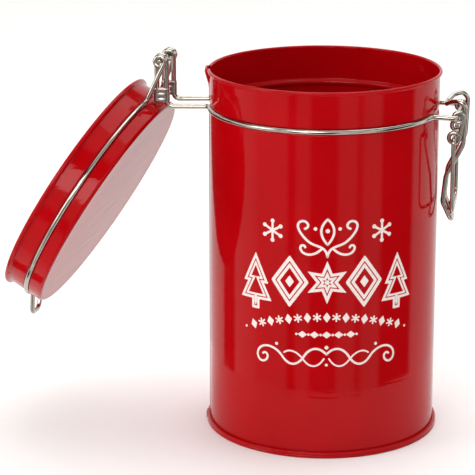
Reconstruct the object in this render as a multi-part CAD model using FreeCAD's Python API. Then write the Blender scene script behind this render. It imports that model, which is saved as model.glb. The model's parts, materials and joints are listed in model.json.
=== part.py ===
import FreeCAD, Part
import math
import os

# Clip-top storage tin: a round sheet-metal body, a slip-over cap held in a wire hoop,
# a wire hinge on the -X side and an over-centre wire latch on the +X side.
# Millimetres. The origin is the centre of the foot ring, on the surface the tin stands on.
# +Z is up, the hinge is at -X, the latch at +X, and the decorated front faces -Y.

# ---- driving dimensions --------------------------------------------------------------
WALL_RADIUS = 54.0          # outside of the body wall
BODY_HEIGHT = 174.0         # foot to the top of the mouth curl
SHEET = 0.5                 # tinplate, lacquer included
CURL_RADIUS = 0.8           # outside radius of the rolled mouth edge
SEAM_RADIUS = 55.6          # outside of the double seam at the foot
SEAM_HEIGHT = 2.9
BASE_PANEL_HEIGHT = 3.4     # underside of the base panel above the foot
SIDE_SEAM_WIDTH = 5.0
SIDE_SEAM_STEP = 0.35
SIDE_SEAM_ANGLE = 186.0     # degrees round from +X, between the hinge arms

SEAM_FIT = 0.03             # between the seam's hooked layers
FLANGE_GAP = 0.05           # between the wall's foot flange and the seam under it

NECK_Z = 155.7              # plane of the neck wire
NECK_PROUD = 0.15           # wire axis outside the wall
NECK_WIRE = 1.2             # wire radii
LID_WIRE = 1.15
HANDLE_WIRE = 1.1
EYE_WIRE = 1.0
LINK_WIRE = 0.95
HINGE_ROD = 1.0
GROOVE_CLEARANCE = 0.05     # between a hoop and the groove it lies in
LEAD = 3.0                  # straight wire between a hoop's circle and its first bend
CORNER_BEND = 2.4           # bend radius where a wire leaves its hoop

LID_RADIUS = 57.2           # outside of the cap's skirt
LID_DEPTH = 20.0            # open edge to top face
LID_COVER = 4.1             # cap below the mouth while the rod is at the top of its slots
LID_HEM_RADIUS = 58.8       # outside of the rolled open edge
LID_CORNER = 1.6
LID_GROOVE_HEIGHT = 11.7    # hoop plane above the open edge
LID_GROOVE_DEPTH = 1.3
SEAL_THICKNESS = 0.9
SEAL_WIDTH = 3.4

HINGE_X = -75.8
HINGE_Z = 176.6             # rod at the top of its slots
HINGE_SKEW = (0.030, 1.0, -0.055)   # the hand-bent rod is not quite square to the tin
ARM_Y = 8.5                 # the two hinge arms of the neck wire
ARM_Z = 155.1
ARM_BEND = 3.0
SLOT_CROWN = 0.12           # slot bend centre above the rod axis
HOOK_Y = 12.3               # the two hooks of the hoop
HOOK_RADIUS = 2.3
SLOT_HALF = 2.28            # rod axis to slot wire axis
LID_OPEN = 238.8            # degrees from closed to hanging on the arms
ROD_END = 1.65              # rod past the axis of each hook
FERRULE = (7.5, 3.0, 6.6)   # X, Y and Z size of a crimped ferrule
FERRULE_CORNER = 1.2
FERRULE_Z = 157.2

PIVOT = (63.6, 155.2)       # X and Z of the latch pivot bar
PIVOT_Y = 16.0
PIVOT_BEND = 2.2
EYE = (61.8, 145.5)         # X and Z of the two eyes that carry the link
EYE_Y = 12.8
EYE_RADIUS = 2.45           # centre line of an eye
COIL_RADIUS = 2.25          # centre line of the coil on the pivot bar
WIRE_TURN = 288.0           # degrees that a hook, eye or coil goes round before its cut end
LINK_Y = 18.6
LINK_LENGTH = 35.4
LINK_END_Y = 11.0
LINK_BENDS = (1.8, 4.5)     # at the eyes, at the far end
EAR_Y = 7.6                 # half width of the lifting ear at its root
EAR_TIP_Y = 4.6
EAR_LENGTH = 12.0
EAR_RISE = 24.0             # degrees the ear is bent towards the top of the cap
EAR_BEND = 3.4
LEVER_LINE = [              # X and Z from the pivot bar, half width, bend radius
    (-6.1, 4.0, 3.2, 3.0), (-3.2, 6.3, 8.4, 4.0), (0.6, 7.0, 10.6, 3.0), (3.2, 4.4, 10.9, 3.6),
    (2.4, -13.5, 10.9, 10.0), (-5.4, -29.0, 8.6, 8.0), (-6.7, -42.0, 7.4, 5.0),
    (-2.6, -51.0, 6.0, 3.4)]


NECK_HOOP = WALL_RADIUS + NECK_PROUD


# ---- small helpers ---------------------------------------------------------------------
def vec(x, y, z):
    return FreeCAD.Vector(x, y, z)


def revolved(outline):
    """Solid of revolution about Z from a closed list of edges in the XZ plane."""
    face = Part.Face(Part.Wire(outline))
    return face.revolve(vec(0, 0, 0), vec(0, 0, 1), 360)


def sheet_outline(points):
    """Closed outline through (radius, height) points, as straight edges."""
    corners = [vec(r, 0, z) for r, z in points]
    corners.append(corners[0])
    return [Part.LineSegment(a, b).toShape() for a, b in zip(corners, corners[1:])]


def ring_of_circle(ring_radius, height, section_radius):
    """Whole torus round the Z axis."""
    return Part.makeTorus(ring_radius, section_radius, vec(0, 0, height), vec(0, 0, 1))


def straight(a, b, radius):
    return Part.makeCylinder(radius, (b - a).Length, a, b - a)


def bend(centre, axis, start, angle, radius):
    """Wire along an arc from the point start, turned by angle degrees about the axis."""
    tangent = axis.cross(start - centre)
    section = Part.Face(Part.Wire(Part.makeCircle(radius, start, tangent)))
    return section.revolve(centre, axis, angle)


def fused(solids):
    shape = solids[0].multiFuse(solids[1:]) if len(solids) > 1 else solids[0]
    shape = shape.removeSplitter()
    return shape.Solids[0] if len(shape.Solids) == 1 else shape


def bent_wire(corners, bends, radius, closed=False):
    """Solids of a wire through corner points, each inner corner rounded to its bend radius."""
    count = len(corners)
    starts = []
    ends = []
    solids = []
    for i, corner in enumerate(corners):
        if not closed and i in (0, count - 1):
            starts.append(corner)
            ends.append(corner)
            continue
        before = corners[i - 1] - corner
        after = corners[(i + 1) % count] - corner
        before.normalize()
        after.normalize()
        turn = math.pi - before.getAngle(after)
        back = bends[i] * math.tan(turn / 2)
        first = corner + before * back
        middle = before + after
        middle.normalize()
        centre = corner + middle * (bends[i] / math.cos(turn / 2))
        axis = (first - centre).cross(before * -1)
        axis.normalize()
        solids.append(bend(centre, axis, first, math.degrees(turn), radius))
        starts.append(first)
        ends.append(corner + after * back)
    pairs = count if closed else count - 1
    for i in range(pairs):
        solids.append(straight(ends[i], starts[(i + 1) % count], radius))
    return solids


def hoop_exit(hoop_radius, half_width):
    """Angle from the X axis at which a hoop leaves its circle so that, after its straight
    lead, the wire lies at half_width from the XZ plane."""
    reach = math.hypot(hoop_radius, LEAD)
    return math.asin(half_width / reach) + math.atan2(LEAD, hoop_radius)


def hoop_ends(hoop_radius, height, latch_exit, hinge_exit, side):
    """The ends of one half of a hoop: on the circle and after the lead, latch then hinge."""
    latch = vec(hoop_radius * math.cos(latch_exit), side * hoop_radius * math.sin(latch_exit), height)
    hinge = vec(-hoop_radius * math.cos(hinge_exit), side * hoop_radius * math.sin(hinge_exit), height)
    latch_lead = latch + vec(math.sin(latch_exit), -side * math.cos(latch_exit), 0) * LEAD
    hinge_lead = hinge + vec(-math.sin(hinge_exit), -side * math.cos(hinge_exit), 0) * LEAD
    return latch, latch_lead, hinge, hinge_lead


def hinge_axis():
    axis = vec(*HINGE_SKEW)
    axis.normalize()
    return axis


def rod_point(y):
    """The rod's axis at a given Y."""
    return vec(HINGE_X + HINGE_SKEW[0] * y, y, HINGE_Z + HINGE_SKEW[2] * y)


# ---- tin body ----------------------------------------------------------------------------
def body_wall():
    inner = WALL_RADIUS - SHEET
    flange_z = SHEET + FLANGE_GAP
    flange_radius = SEAM_RADIUS - SHEET - 2 * FLANGE_GAP
    groove_r = NECK_WIRE + GROOVE_CLEARANCE
    curl_z = BODY_HEIGHT - CURL_RADIUS
    wall = revolved(sheet_outline([
        (inner, flange_z), (flange_radius, flange_z), (flange_radius, flange_z + SHEET),
        (WALL_RADIUS, flange_z + SHEET), (WALL_RADIUS, curl_z), (inner, curl_z)]))
    # the rolled mouth edge is a tube whose inside stands over the wall's inside
    curl_centre = inner + CURL_RADIUS
    curl = ring_of_circle(curl_centre, curl_z, CURL_RADIUS)
    hollow = ring_of_circle(curl_centre, curl_z, CURL_RADIUS - SHEET)
    # groove for the neck wire: the sheet is pushed in round the wire
    backing = ring_of_circle(NECK_HOOP, NECK_Z, groove_r + SHEET)
    inside = Part.makeCylinder(WALL_RADIUS, BODY_HEIGHT)
    groove = ring_of_circle(NECK_HOOP, NECK_Z, groove_r)
    shape = wall.multiFuse([curl, backing.common(inside), side_seam()])
    return shape.cut(groove).cut(hollow).removeSplitter()


def side_seam():
    """The folded seam's outer layer, a strip from above the foot seam to under the curl."""
    low = SEAM_HEIGHT + 2 * FLANGE_GAP
    high = BODY_HEIGHT - 2 * CURL_RADIUS - 2 * FLANGE_GAP
    strip = Part.makeBox(WALL_RADIUS, SIDE_SEAM_WIDTH, high - low, vec(0, -SIDE_SEAM_WIDTH / 2, low))
    strip.translate(vec(SIDE_SEAM_STEP, 0, 0))
    strip = strip.common(Part.makeCylinder(WALL_RADIUS + SIDE_SEAM_STEP, BODY_HEIGHT))
    strip = strip.cut(Part.makeCylinder(WALL_RADIUS - SHEET / 2, BODY_HEIGHT))
    strip.rotate(vec(0, 0, 0), vec(0, 0, 1), SIDE_SEAM_ANGLE)
    return strip


def base_end():
    chuck = WALL_RADIUS - SHEET - SEAM_FIT
    panel_top = BASE_PANEL_HEIGHT + SHEET
    hook_r = WALL_RADIUS + SEAM_FIT
    return revolved(sheet_outline([
        (0, BASE_PANEL_HEIGHT), (chuck - SHEET, BASE_PANEL_HEIGHT), (chuck - SHEET, 0),
        (SEAM_RADIUS, 0), (SEAM_RADIUS, SEAM_HEIGHT), (hook_r, SEAM_HEIGHT),
        (hook_r, SEAM_HEIGHT - SHEET), (SEAM_RADIUS - SHEET, SEAM_HEIGHT - SHEET),
        (SEAM_RADIUS - SHEET, SHEET), (chuck, SHEET), (chuck, panel_top), (0, panel_top)]))


# ---- neck wire with its hinge arms and latch ear ----------------------------------------------
def neck_wire():
    hinge_exit = hoop_exit(NECK_HOOP, ARM_Y)
    latch_exit = hoop_exit(NECK_HOOP, PIVOT_Y)
    sweep = 180 - math.degrees(latch_exit + hinge_exit)
    solids = []
    ear = []
    for side in (-1, 1):
        latch, latch_lead, hinge, hinge_lead = hoop_ends(NECK_HOOP, NECK_Z, latch_exit, hinge_exit, side)
        solids.append(bend(vec(0, 0, NECK_Z), vec(0, 0, side), latch, sweep, NECK_WIRE))
        # hinge arm: out from the groove, up one side of the slot, over, down to the ferrule
        rod = rod_point(side * ARM_Y)
        top = rod.z + SLOT_CROWN
        near_x = rod.x + SLOT_HALF
        far_x = rod.x - SLOT_HALF
        arm = [hinge, hinge_lead, vec(near_x, rod.y, ARM_Z), vec(near_x, rod.y, top)]
        solids += bent_wire(arm, [0, CORNER_BEND, ARM_BEND, 0], NECK_WIRE)
        solids.append(bend(vec(rod.x, rod.y, top), vec(0, -1, 0), arm[-1], 180, NECK_WIRE))
        solids.append(straight(vec(far_x, rod.y, top), vec(far_x, rod.y, FERRULE_Z), NECK_WIRE))
        ear.append([latch, latch_lead, vec(PIVOT[0], side * PIVOT_Y, PIVOT[1])])
    # latch ear: two legs and the pivot bar
    bends = [0, CORNER_BEND, PIVOT_BEND, PIVOT_BEND, CORNER_BEND, 0]
    solids += bent_wire(ear[0] + ear[1][::-1], bends, NECK_WIRE)
    return fused(solids)


def hinge_ferrule(side, wire):
    rod = rod_point(side * ARM_Y)
    corner = vec(rod.x - FERRULE[0] / 2, rod.y - FERRULE[1] / 2, FERRULE_Z)
    block = Part.makeBox(*FERRULE, corner)
    upright = [e for e in block.Edges if abs(e.tangentAt(0).z) > 0.9]
    return block.makeFillet(FERRULE_CORNER, upright).cut(wire)


def hinge_rod():
    reach = HOOK_Y + ROD_END
    return straight(rod_point(-reach), rod_point(reach), HINGE_ROD)


# ---- cap -------------------------------------------------------------------------------------
# The cap is drawn closed, at the top of the rod's travel, then turned open about the rod.
HEM_Z = BODY_HEIGHT - LID_COVER
HOOP_Z = HEM_Z + LID_GROOVE_HEIGHT
HOOP_RADIUS = LID_RADIUS - LID_GROOVE_DEPTH + LID_WIRE + GROOVE_CLEARANCE


def opened(shape):
    shape.rotate(vec(HINGE_X, 0, HINGE_Z), hinge_axis(), -LID_OPEN)
    return shape


def lid_cap():
    inner = LID_RADIUS - SHEET
    top = HEM_Z + LID_DEPTH
    hem_r = (LID_HEM_RADIUS - inner) / 2
    middle = LID_CORNER * (1 - math.sqrt(0.5))
    inner_corner = LID_CORNER - SHEET
    inner_middle = inner_corner * (1 - math.sqrt(0.5))
    ceiling = top - SHEET

    def line(a, b):
        return Part.LineSegment(vec(a[0], 0, a[1]), vec(b[0], 0, b[1])).toShape()

    def arc(a, b, c):
        return Part.Arc(*[vec(p[0], 0, p[1]) for p in (a, b, c)]).toShape()

    outside = [(LID_RADIUS, HEM_Z + hem_r), (LID_RADIUS, top - LID_CORNER),
               (LID_RADIUS - middle, top - middle), (LID_RADIUS - LID_CORNER, top)]
    inside = [(inner - inner_corner, ceiling), (inner - inner_middle, ceiling - inner_middle),
              (inner, ceiling - inner_corner), (inner, HEM_Z + hem_r)]
    shell = revolved([
        line(outside[0], outside[1]), arc(*outside[1:4]), line(outside[3], (0, top)),
        line((0, top), (0, ceiling)), line((0, ceiling), inside[0]), arc(*inside[0:3]),
        line(inside[2], inside[3]), line(inside[3], outside[0])])
    hem_centre = inner + hem_r
    hem = ring_of_circle(hem_centre, HEM_Z + hem_r, hem_r)
    hem_hollow = ring_of_circle(hem_centre, HEM_Z + hem_r, hem_r - SHEET)
    groove_r = LID_WIRE + GROOVE_CLEARANCE
    backing = ring_of_circle(HOOP_RADIUS, HOOP_Z, groove_r + SHEET)
    core = Part.makeCylinder(LID_RADIUS, 4 * groove_r, vec(0, 0, HOOP_Z - 2 * groove_r))
    shape = shell.multiFuse([hem, backing.common(core)])
    shape = shape.cut(ring_of_circle(HOOP_RADIUS, HOOP_Z, groove_r))
    return shape.cut(hem_hollow).removeSplitter()


def lid_seal_ring():
    outer = LID_RADIUS - SHEET
    top = HOOP_Z - LID_WIRE - GROOVE_CLEARANCE - SHEET
    return revolved(sheet_outline([
        (outer - SEAL_WIDTH, top - SEAL_THICKNESS), (outer, top - SEAL_THICKNESS),
        (outer, top), (outer - SEAL_WIDTH, top)]))


def lid_wire():
    hinge_exit = hoop_exit(HOOP_RADIUS, HOOK_Y)
    latch_exit = hoop_exit(HOOP_RADIUS, EAR_Y)
    sweep = 180 - math.degrees(latch_exit + hinge_exit)
    rise = math.radians(EAR_RISE)
    solids = []
    ear = []
    for side in (-1, 1):
        latch, latch_lead, hinge, hinge_lead = hoop_ends(HOOP_RADIUS, HOOP_Z, latch_exit, hinge_exit, side)
        solids.append(bend(vec(0, 0, HOOP_Z), vec(0, 0, side), latch, sweep, LID_WIRE))
        # arm: out to the rod, arriving along a tangent of the hook, then round the rod
        eye = rod_point(side * HOOK_Y)
        dx = hinge_lead.x - eye.x
        dz = hinge_lead.z - eye.z
        touch_angle = math.atan2(dz, dx) + math.acos(HOOK_RADIUS / math.hypot(dx, dz))
        touch = eye + vec(math.cos(touch_angle), 0, math.sin(touch_angle)) * HOOK_RADIUS
        solids += bent_wire([hinge, hinge_lead, touch], [0, CORNER_BEND, 0], LID_WIRE)
        solids.append(bend(eye, vec(0, -1, 0), touch, WIRE_TURN, LID_WIRE))
        tip = vec(latch_lead.x + EAR_LENGTH * math.cos(rise), side * EAR_TIP_Y,
                  HOOP_Z + EAR_LENGTH * math.sin(rise))
        ear.append([latch, latch_lead, tip])
    bends = [0, CORNER_BEND, EAR_BEND, EAR_BEND, CORNER_BEND, 0]
    solids += bent_wire(ear[0] + ear[1][::-1], bends, LID_WIRE)
    return fused(solids)


# ---- latch -------------------------------------------------------------------------------------
def lever_handle():
    """Closed wire loop: nose over the pivot bar, legs down the outside, swept-in finger end."""
    corners = [vec(PIVOT[0] + x, -half, PIVOT[1] + z) for x, z, half, _ in LEVER_LINE]
    corners += [vec(c.x, -c.y, c.z) for c in reversed(corners)]
    radii = [p[3] for p in LEVER_LINE]
    return fused(bent_wire(corners, radii + radii[::-1], HANDLE_WIRE, closed=True))


def lever_eye(side):
    """Coil on the pivot bar, a straight leg down its outside and the eye for the link."""
    y = side * EYE_Y
    pivot = vec(PIVOT[0], y, PIVOT[1])
    eye = vec(EYE[0], y, EYE[1])
    down = eye - pivot
    lean = math.asin((EYE_RADIUS - COIL_RADIUS) / down.Length)
    angle = math.atan2(down.z, down.x) + math.pi / 2 + lean
    out = vec(math.cos(angle), 0, math.sin(angle))
    coil_start = pivot + out * COIL_RADIUS
    eye_start = eye + out * EYE_RADIUS
    axis = vec(0, 1, 0)
    return fused([bend(pivot, axis * -1, coil_start, WIRE_TURN, EYE_WIRE),
                  straight(coil_start, eye_start, EYE_WIRE),
                  bend(eye, axis, eye_start, WIRE_TURN, EYE_WIRE)])


def link_loop():
    bottom = EYE[1] - LINK_LENGTH
    half = [vec(EYE[0], -LINK_END_Y, EYE[1]), vec(EYE[0], -LINK_Y, EYE[1]), vec(EYE[0], -LINK_Y, bottom)]
    other = [vec(c.x, -c.y, c.z) for c in reversed(half)]
    return fused(bent_wire(half + other, [0, *LINK_BENDS, *reversed(LINK_BENDS), 0], LINK_WIRE))


# ---- build and write ---------------------------------------------------------------------------
def build():
    wire = neck_wire()
    return {
        "body_wall": body_wall(),
        "base_end": base_end(),
        "neck_wire": wire,
        "hinge_ferrule_near": hinge_ferrule(-1, wire),
        "hinge_ferrule_far": hinge_ferrule(1, wire),
        "hinge_rod": hinge_rod(),
        "lid_cap": opened(lid_cap()),
        "lid_seal_ring": opened(lid_seal_ring()),
        "lid_wire": opened(lid_wire()),
        "lever_handle": lever_handle(),
        "lever_eye_near": lever_eye(-1),
        "lever_eye_far": lever_eye(1),
        "link_loop": link_loop(),
    }


def main():
    os.makedirs("parts", exist_ok=True)
    for name, shape in build().items():
        print(f"{name:20s} valid {shape.isValid()} solids {len(shape.Solids)} volume {shape.Volume:.1f}")
        shape.exportStep(f"parts/{name}.step")


main()
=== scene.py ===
import json
import math

import bpy
from mathutils import Matrix, Vector


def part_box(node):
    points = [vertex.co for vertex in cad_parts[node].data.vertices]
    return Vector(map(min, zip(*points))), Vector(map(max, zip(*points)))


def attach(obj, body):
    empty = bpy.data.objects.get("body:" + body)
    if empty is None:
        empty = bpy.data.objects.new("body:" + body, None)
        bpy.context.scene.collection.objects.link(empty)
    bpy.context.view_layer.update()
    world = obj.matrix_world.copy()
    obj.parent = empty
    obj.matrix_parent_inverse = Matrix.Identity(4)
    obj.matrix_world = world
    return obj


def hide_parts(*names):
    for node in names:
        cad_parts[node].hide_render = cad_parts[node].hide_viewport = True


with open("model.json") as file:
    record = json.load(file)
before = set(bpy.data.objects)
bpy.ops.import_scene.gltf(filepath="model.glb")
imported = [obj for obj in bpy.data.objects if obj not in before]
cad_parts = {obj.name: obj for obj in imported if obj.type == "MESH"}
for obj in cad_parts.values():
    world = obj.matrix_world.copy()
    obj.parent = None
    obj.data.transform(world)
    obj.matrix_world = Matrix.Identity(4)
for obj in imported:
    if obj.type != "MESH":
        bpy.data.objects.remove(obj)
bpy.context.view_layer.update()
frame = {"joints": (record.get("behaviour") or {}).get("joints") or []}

# Clip-top tin: smooth shells, bent wires and the printed front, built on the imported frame.
# Lengths are in millimetres, and the mesh helpers turn them into metres. The stage is in metres.
MM = 0.001

JOINTS = {j["name"]: j for j in frame["joints"]}
FOOT_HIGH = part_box("base_end")[1]
WALL_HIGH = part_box("body_wall")[1]


def joint_point(name):
    return Vector(JOINTS[name]["pos_m"]) / MM


# ---- sizes -----------------------------------------------
BODY_HEIGHT = round(WALL_HIGH.z / MM, 2)
SEAM_RADIUS = round(FOOT_HIGH.x / MM, 2)
SHEET = 0.5
WALL_RADIUS = 54.0
WALL_CLEAR = 3.0        # the wall stands free of the foot's seam above this height
CURL_RADIUS = 0.8       # rolled edge of the mouth
SEAM_HEIGHT = 2.9
BASE_PANEL_HEIGHT = 3.4
SIDE_SEAM_ANGLE = 186.0
SIDE_SEAM_WIDTH = 5.0
SIDE_SEAM_STEP = 0.35
SIDE_SEAM_EDGE = 0.7     # width of its rolled edges
BASE_SEAM_STEP = 0.45    # how far it pushes out the seam at the foot
FLARE_REACH = 1.9       # how far the mouth's curl stands out over the side seam
FLARE_HALF = 2.9        # half the flare's width, and the width of its rolled edges
FLARE_EDGE = 1.3
FLARE_DROP = 9.5        # where the flare begins below the mouth, and the height it grows over
FLARE_GROWTH = 8.5
FLARE_INSIDE = 0.8      # share of the reach inside the mouth, and outside the curl
FLARE_OUTSIDE = 0.55

NECK_Z = 155.7
NECK_HOOP_RADIUS = WALL_RADIUS + 0.15
NECK_WIRE = 1.2
LID_WIRE = 1.15
HANDLE_WIRE = 1.1
EYE_WIRE = 1.0
LINK_WIRE = 0.95
ROD_RADIUS = 1.0
GROOVE_CLEARANCE = 0.05
GROOVE_STEP = 0.16      # spacing of outline points across a wire groove
GROOVE_REACH = 3.3      # half the height that is given this spacing
GROOVE_SOFTNESS = 2.2   # how many steps a groove's shoulders are rolled over

LID_RADIUS = 57.2
LID_DEPTH = 20.0
LID_COVER = 4.1         # cap below the mouth while the rod is at the top of its slots
LID_HEM_RADIUS = 58.8
LID_CORNER = 1.6
LID_GROOVE_DEPTH = 1.3
LID_GROOVE_HEIGHT = 11.7
SEAL_THICKNESS = 0.9
SEAL_WIDTH = 3.4
HEM_Z = BODY_HEIGHT - LID_COVER
HOOP_Z = HEM_Z + LID_GROOVE_HEIGHT
HOOP_RADIUS = LID_RADIUS - LID_GROOVE_DEPTH + LID_WIRE + GROOVE_CLEARANCE

HINGE = joint_point("lid_hinge")
HINGE_AXIS = Vector(JOINTS["lid_hinge"]["axis"]).normalized()
LID_OPEN = math.radians(JOINTS["lid_hinge"]["range_deg"][1])
ARM_Y = 8.5
ARM_Z = 155.1
ARM_BEND = 3.0
HOOK_Y = 12.3
HOOK_RADIUS = 2.3
HOOK_TURN = math.radians(292)
HOOK_ADVANCE = 0.25     # sideways step of the wire round the hook
SLOT_HALF = 2.28
SLOT_CROWN = 0.12       # slot bend centre above the rod axis
SLOT_TAIL = 0.4         # end of the slot's far wire below the sleeve
ROD_END = 0.5           # rod beyond the outer side of a hook
FERRULE_Z = 157.2
FERRULE_SIZE = (7.5, 3.0, 6.6)
FERRULE_SIDES = 64
FERRULE_ROUNDING = (0.45, 0.62)      # smaller is squarer
CRIMPS = (0.31, 0.69)   # heights of the sleeve's two dents, as shares of its own
CRIMP_HEIGHT = 0.055
CRIMP_WIDTH = 1.1
CRIMP_DEPTH = 0.30      # share of the sleeve's thickness

PIVOT = joint_point("lever_pivot")
PIVOT_Y = 16.0
PIVOT_BEND = 2.2
EYE = joint_point("link_hinge")
EYE_Y = 12.8
EYE_RADIUS = 2.45
EYE_TURN = math.radians(322)
EYE_ADVANCE = 0.5
COIL_RADIUS = 2.25
COIL_TURN = math.radians(318)
COIL_ADVANCE = 0.55
LINK_Y = 18.6
LINK_LENGTH = 35.4
LINK_END_Y = 11.0
LINK_TOP_BEND = 1.8
LINK_LOW_BEND = 4.5
EAR_Y = 7.6
EAR_TIP_Y = 4.6
EAR_LENGTH = 12.0
EAR_RISE = math.radians(24.0)
EAR_BEND = 3.4

LEAD = 3.0            # straight wire between a hoop's circle and its first bend
CORNER_BEND = 2.4     # bend radius where a wire leaves its hoop
ARC_STEP = 0.45       # spacing of points along a bend
HOOP_STEP = 1.2       # spacing of points along a hoop
SPAN_STEP = 4.0       # longest straight piece of a wire's path
SAME_POINT = 0.02     # points of a path nearer than this are one
# Distance from a cut end and width there, in wire radii.
WIRE_END = ((0.0, 0.55), (0.08, 0.88), (0.30, 1.0))
ROUND = 420           # faces round the wall and the cap
ROUND_TURN = math.radians(0.2)


# ---- mesh helpers ----------------------------------------
def mesh_object(name, points, faces, material, sharp=40.0):
    """A smooth-shaded mesh from points in millimetres."""
    mesh = bpy.data.meshes.new(name)
    mesh.from_pydata([tuple(Vector(p) * MM) for p in points], [], faces)
    mesh.validate()
    mesh.update()
    mesh.polygons.foreach_set("use_smooth", [True] * len(mesh.polygons))
    mesh.set_sharp_from_angle(angle=math.radians(sharp))
    mesh.materials.append(material)
    obj = bpy.data.objects.new(name, mesh)
    bpy.context.scene.collection.objects.link(obj)
    return obj


def lathe(name, outline, material, segments=240, swell=None, sharp=40.0, turn=0.0):
    """Solid of revolution from a closed outline of (radius, height) points, counter-clockwise.
    swell(angle, radius, height) adds to the radius."""
    points = []
    rings = []
    for r, z in outline:
        if r < 1e-6:
            rings.append([len(points)])
            points.append((0.0, 0.0, z))
            continue
        ring = []
        for k in range(segments):
            a = turn + 2 * math.pi * k / segments
            radius = r + (swell(a, r, z) if swell else 0.0)
            ring.append(len(points))
            points.append((radius * math.cos(a), radius * math.sin(a), z))
        rings.append(ring)
    faces = []
    for i, low in enumerate(rings):
        high = rings[(i + 1) % len(rings)]
        if len(low) == 1 and len(high) == 1:
            continue
        for k in range(segments):
            n = (k + 1) % segments
            if len(low) == 1:
                faces.append((low[0], high[n], high[k]))
            elif len(high) == 1:
                faces.append((low[k], low[n], high[0]))
            else:
                faces.append((low[k], low[n], high[n], high[k]))
    return mesh_object(name, points, faces, material, sharp)


def arc_points(centre, radius, start, end, count):
    """(x, y) points along an arc, angles in degrees, both ends included."""
    angles = [math.radians(start + (end - start) * i / count) for i in range(count + 1)]
    return [(centre[0] + radius * math.cos(a), centre[1] + radius * math.sin(a)) for a in angles]


def rounded_path(corners, radii, closed=False):
    """Points of a wire through 3-D corners, each inner corner rounded to its bend radius."""
    count = len(corners)
    path = []
    for i, corner in enumerate(corners):
        if not closed and i in (0, count - 1):
            path.append(corner.copy())
            continue
        before = (corners[i - 1] - corner).normalized()
        after = (corners[(i + 1) % count] - corner).normalized()
        turn = math.pi - before.angle(after)
        back = radii[i] * math.tan(turn / 2)
        first = corner + before * back
        centre = corner + (before + after).normalized() * (radii[i] / math.cos(turn / 2))
        axis = (first - centre).cross(-before)
        steps = max(3, math.ceil(radii[i] * turn / ARC_STEP))
        for k in range(steps + 1):
            turned = Matrix.Rotation(turn * k / steps, 3, axis) @ (first - centre)
            path.append(centre + turned)
    return path


def turned_path(centre, axis, start, angle, steps, advance=0.0):
    """Points along an arc or a helix about an axis, from start, advance millimetres in all."""
    path = []
    axis = axis.normalized()
    for k in range(steps + 1):
        share = k / steps
        point = centre + Matrix.Rotation(angle * share, 3, axis) @ (start - centre)
        path.append(point + axis * (advance * share))
    return path


def resampled(path, longest):
    """Adds points to straight stretches, so that streaks in the finish stay even."""
    out = [path[0]]
    for a, b in zip(path, path[1:]):
        parts = max(1, math.ceil((b - a).length / longest))
        out += [a.lerp(b, (k + 1) / parts) for k in range(parts)]
    return out


def ring_faces(rings, sides, closed=False):
    """Faces between one ring of points and the next, with end faces unless it is closed."""
    faces = []
    for i in range(rings if closed else rings - 1):
        j = (i + 1) % rings
        for k in range(sides):
            n = (k + 1) % sides
            faces.append((i * sides + k, i * sides + n, j * sides + n, j * sides + k))
    if not closed:
        last = (rings - 1) * sides
        faces += [tuple(range(sides))[::-1], tuple(range(last, last + sides))]
    return faces


def tube(name, path, radius, material, closed=False, sides=20):
    """A round wire along a path, with slightly rounded cut ends."""
    clean = [path[0]]
    for p in path[1:]:
        if (p - clean[-1]).length > SAME_POINT:
            clean.append(p)
    if closed and (clean[-1] - clean[0]).length < SAME_POINT:
        clean.pop()
    if closed:
        clean = resampled(clean + [clean[0]], SPAN_STEP)[:-1]
    else:
        clean = resampled(clean, SPAN_STEP)
    count = len(clean)
    tangents = []
    for i in range(count):
        if closed:
            t = clean[(i + 1) % count] - clean[i - 1]
        else:
            t = clean[min(i + 1, count - 1)] - clean[max(i - 1, 0)]
        tangents.append(t.normalized())
    normal = tangents[0].orthogonal().normalized()
    frames = [normal]
    for i in range(1, count):
        turn = tangents[i - 1].rotation_difference(tangents[i])
        normal = turn @ normal
        normal = (normal - tangents[i] * normal.dot(tangents[i])).normalized()
        frames.append(normal)
    twist = 0.0
    if closed:
        carried = tangents[-1].rotation_difference(tangents[0]) @ frames[-1]
        cross = tangents[0].dot(carried.cross(frames[0]))
        twist = math.atan2(cross, carried.dot(frames[0]))
    sections = []
    if not closed:
        for inward, width in WIRE_END:
            sections.append((clean[0] + tangents[0] * (inward * radius), tangents[0], frames[0], width))
    for i in range(count):
        if not closed and i in (0, count - 1):
            continue
        spin = Matrix.Rotation(twist * i / count, 3, tangents[i])
        sections.append((clean[i], tangents[i], spin @ frames[i], 1.0))
    if not closed:
        for inward, width in reversed(WIRE_END):
            tip = clean[-1] - tangents[-1] * (inward * radius)
            sections.append((tip, tangents[-1], frames[-1], width))
    points = []
    for centre, tangent, across, scale in sections:
        up = tangent.cross(across)
        for k in range(sides):
            a = 2 * math.pi * k / sides
            points.append(centre + (across * math.cos(a) + up * math.sin(a)) * (radius * scale))
    obj = mesh_object(name, points, ring_faces(len(sections), sides, closed), material, 60.0)
    lengthwise_uv(obj, sections, sides, radius)
    return obj


def lengthwise_uv(obj, sections, sides, radius):
    """u runs along the wire and v round it, both in centimetres."""
    along = [0.0]
    for (a, *_), (b, *_) in zip(sections, sections[1:]):
        along.append(along[-1] + (b - a).length)
    layer = obj.data.uv_layers.new(name="wire")
    for poly in obj.data.polygons:
        corners = [(obj.data.loops[i].vertex_index, i) for i in poly.loop_indices]
        wraps = max(v % sides for v, _ in corners) - min(v % sides for v, _ in corners) > sides / 2
        for vertex, loop in corners:
            step = vertex % sides
            if wraps and step < sides / 2:
                step += sides
            round_mm = 2 * math.pi * radius * step / sides
            layer.data[loop].uv = (along[vertex // sides] * 0.1, round_mm * 0.1)


# ---- materials -------------------------------------------
MIX_SOCKETS = {"FLOAT": (2, 3, 0), "RGBA": (6, 7, 2)}    # a Mix node's two inputs and its output


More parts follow.
